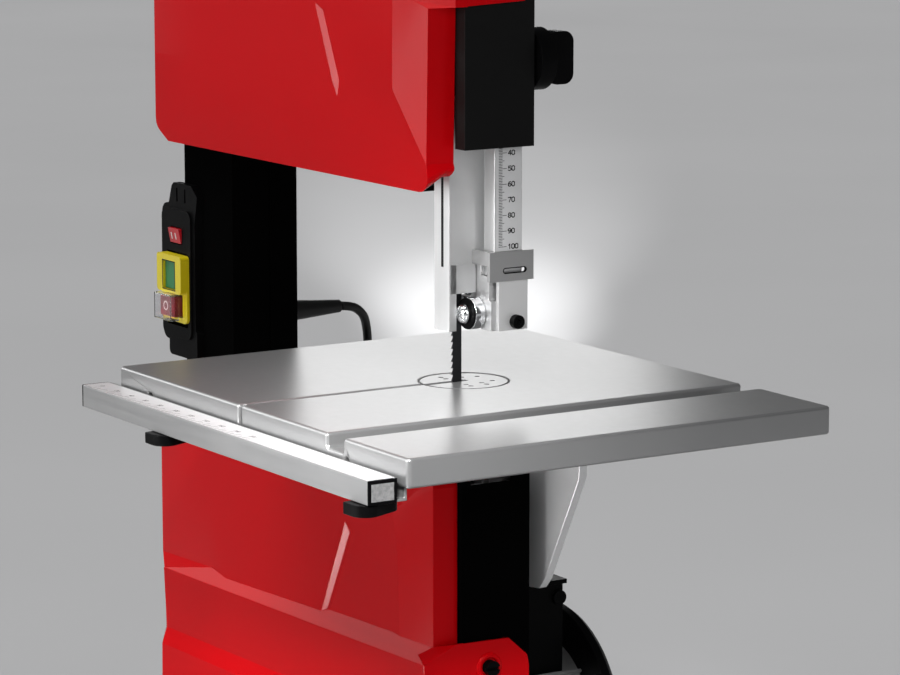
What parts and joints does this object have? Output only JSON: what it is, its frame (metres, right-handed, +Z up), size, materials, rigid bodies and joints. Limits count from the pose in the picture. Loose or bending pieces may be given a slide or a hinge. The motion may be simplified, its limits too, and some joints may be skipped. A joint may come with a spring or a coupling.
{
  "type": "band saw",
  "caption": "Bench band saw with two doors, tilting slotted table, front rail, height-adjustable blade guide with guard, rear motor and mains lead.",
  "frame": {"origin": "centre of the four bench bolt holes, in the plane of the bench", "axes": "+X to the operator's right, +Y away from the operator, +Z up"},
  "size_m": [0.56, 0.4325, 0.89],
  "materials": {
    "frame_paint": "black powder coat",
    "door_red": "glossy red",
    "black_plastic": "moulded",
    "rubber": "matt",
    "steel": "bright",
    "chrome": "polished",
    "aluminium": "cast, satin",
    "table_aluminium": "ground and coated",
    "blade_steel": "blued",
    "cast": "painted",
    "belt": "ribbed",
    "yellow": "moulded",
    "green": "moulded",
    "red_button": "moulded",
    "cord": "matt"
  },
  "bodies": {
    "frame": {"upper_wheel_box": "frame_paint", "column": "frame_paint", "lower_wheel_box": "frame_paint", "base_plinth": "frame_paint", "rubber_feet": "rubber", "frame_bolts": "steel", "post_sleeve": "aluminium", "door_hinges": "frame_paint", "tension_spring": "steel", "bearing_housing": "cast", "lower_guide_block": "aluminium", "motor_body": "aluminium", "motor_fan_cover": "black_plastic", "terminal_box": "black_plastic", "dust_port": "black_plastic", "tilt_saddle": "cast", "switch_housing": "black_plastic", "switch_bezel": "yellow", "work_lamp": "black_plastic", "cord_gland": "cord", "power_cord": "cord", "cord_coil": "cord", "mains_plug": "cord", "saw_blade": "blade_steel", "drive_belt": "belt"},
    "start_button": {"start_button": "green"},
    "stop_button": {"stop_button": "red_button"},
    "lamp_rocker": {"lamp_switch": "red_button"},
    "upper_door": {"upper_door": "door_red"},
    "upper_latch": {"upper_latch": "black_plastic"},
    "lower_door": {"lower_door": "door_red"},
    "lower_latch": {"lower_latch": "black_plastic"},
    "carriage": {"tension_carriage": "cast"},
    "axle": {"axle_block": "steel"},
    "upper_wheel": {"upper_wheel": "aluminium", "upper_tyre": "rubber"},
    "tension_knob": {"tension_knob": "black_plastic"},
    "tracking_knob": {"tracking_knob": "black_plastic"},
    "lower_wheel": {"lower_wheel": "aluminium", "lower_tyre": "rubber", "lower_shaft": "steel"},
    "motor_rotor": {"motor_shaft": "steel"},
    "lower_thrust": {"lower_thrust_roller": "chrome"},
    "guide": {"guide_post": "steel", "guide_bracket": "aluminium", "guide_block": "aluminium", "roller_carrier": "black_plastic", "blade_guard": "steel", "guide_screws": "black_plastic"},
    "left_roller": {"left_roller": "chrome"},
    "right_roller": {"right_roller": "chrome"},
    "thrust_roller": {"thrust_roller": "chrome"},
    "post_lock": {"post_lock_knob": "black_plastic"},
    "table": {"table_top": "table_aluminium", "table_insert": "aluminium", "tilt_segment": "aluminium", "fence_rail": "aluminium"},
    "tilt_lock": {"tilt_lock_knob": "black_plastic"},
    "rail_knob_left": {"rail_knob_left": "black_plastic"},
    "rail_knob_right": {"rail_knob_right": "black_plastic"}
  },
  "joints": [
    {"name": "table_tilt", "type": "hinge", "parent": "frame", "child": "table", "pos_m": [0.15, -0.005, 0.4], "axis": [0, 1, 0], "range_deg": [0, 45]},
    {"name": "tilt_lock_turn", "type": "hinge", "parent": "frame", "child": "tilt_lock", "pos_m": [0.07197, 0.055, 0.32974], "axis": [0, 1, 0], "range_deg": [0, 60]},
    {"name": "rail_knob_left_turn", "type": "hinge", "parent": "table", "child": "rail_knob_left", "pos_m": [0.083, -0.176, 0.37], "axis": [0, 0, 1], "range_deg": [0, 360]},
    {"name": "rail_knob_right_turn", "type": "hinge", "parent": "table", "child": "rail_knob_right", "pos_m": [0.33, -0.176, 0.37], "axis": [0, 0, 1], "range_deg": [0, 360]},
    {"name": "guide_height", "type": "slide", "parent": "frame", "child": "guide", "axis": [0, 0, 1], "range_m": [-0.028, 0.062]},
    {"name": "post_lock_turn", "type": "hinge", "parent": "frame", "child": "post_lock", "pos_m": [0.172, 0.045, 0.607], "axis": [0, 1, 0], "range_deg": [0, 180]},
    {"name": "left_roller_spin", "type": "hinge", "parent": "guide", "child": "left_roller", "pos_m": [0.139, 0, 0.445], "axis": [0, 1, 0], "continuous": true},
    {"name": "right_roller_spin", "type": "hinge", "parent": "guide", "child": "right_roller", "pos_m": [0.161, 0, 0.445], "axis": [0, 1, 0], "continuous": true},
    {"name": "thrust_roller_spin", "type": "hinge", "parent": "guide", "child": "thrust_roller", "pos_m": [0.15, 0.0076, 0.462], "axis": [1, 0, 0], "continuous": true},
    {"name": "lower_thrust_spin", "type": "hinge", "parent": "frame", "child": "lower_thrust", "pos_m": [0.15, 0.0076, 0.326], "axis": [1, 0, 0], "continuous": true},
    {"name": "lower_wheel_spin", "type": "hinge", "parent": "frame", "child": "lower_wheel", "pos_m": [0.005, -0.005, 0.188], "axis": [0, 1, 0], "continuous": true},
    {"name": "upper_wheel_spin", "type": "hinge", "parent": "axle", "child": "upper_wheel", "pos_m": [0.005, -0.005, 0.706], "axis": [0, 1, 0], "continuous": true},
    {"name": "motor_spin", "type": "hinge", "parent": "frame", "child": "motor_rotor", "pos_m": [0.102, 0.014, 0.154], "axis": [0, 1, 0], "continuous": true},
    {"name": "tension_knob_turn", "type": "hinge", "parent": "frame", "child": "tension_knob", "pos_m": [0.005, 0.022, 0.88], "axis": [0, 0, 1], "range_deg": [0, 1440]},
    {"name": "tension_travel", "type": "slide", "parent": "frame", "child": "carriage", "axis": [0, 0, 1], "range_m": [-0.005, 0], "deforming": ["tension_spring"]},
    {"name": "tracking_knob_turn", "type": "hinge", "parent": "carriage", "child": "tracking_knob", "pos_m": [0.005, 0.045, 0.688], "axis": [0, 1, 0], "range_deg": [-67, 67]},
    {"name": "tracking_tilt", "type": "hinge", "parent": "carriage", "child": "axle", "pos_m": [0.005, 0.012, 0.706], "axis": [1, 0, 0], "range_deg": [-0.74, 0.74]},
    {"name": "upper_door_swing", "type": "hinge", "parent": "frame", "child": "upper_door", "pos_m": [-0.202, -0.0213, 0.607], "axis": [0, 0, -1], "range_deg": [0, 110]},
    {"name": "lower_door_swing", "type": "hinge", "parent": "frame", "child": "lower_door", "pos_m": [-0.202, -0.0213, 0.31], "axis": [0, 0, -1], "range_deg": [0, 110]},
    {"name": "upper_latch_turn", "type": "hinge", "parent": "upper_door", "child": "upper_latch", "pos_m": [0.19, -0.004, 0.67], "axis": [1, 0, 0], "range_deg": [0, 90]},
    {"name": "lower_latch_turn", "type": "hinge", "parent": "lower_door", "child": "lower_latch", "pos_m": [0.186, -0.0022, 0.2174], "axis": [1, 0, 0], "range_deg": [0, 90]},
    {"name": "start_press", "type": "slide", "parent": "frame", "child": "start_button", "axis": [0, 1, 0], "range_m": [0, 0.003], "stiffness_N_per_m": 500},
    {"name": "stop_press", "type": "slide", "parent": "frame", "child": "stop_button", "axis": [0, 1, 0], "range_m": [0, 0.003], "stiffness_N_per_m": 500},
    {"name": "lamp_rocker_tilt", "type": "hinge", "parent": "frame", "child": "lamp_rocker", "pos_m": [-0.186, -0.025, 0.456], "axis": [1, 0, 0], "range_deg": [-10, 0]}
  ],
  "couplings": [
    {"joint": "upper_wheel_spin", "follows": "lower_wheel_spin", "ratio": 1},
    {"joint": "motor_spin", "follows": "lower_wheel_spin", "ratio": 2.0314},
    {"joint": "tension_knob_turn", "follows": "tension_travel", "rad_per_m": -5026.5},
    {"joint": "tracking_knob_turn", "follows": "tracking_tilt", "ratio": 90.48}
  ]
}
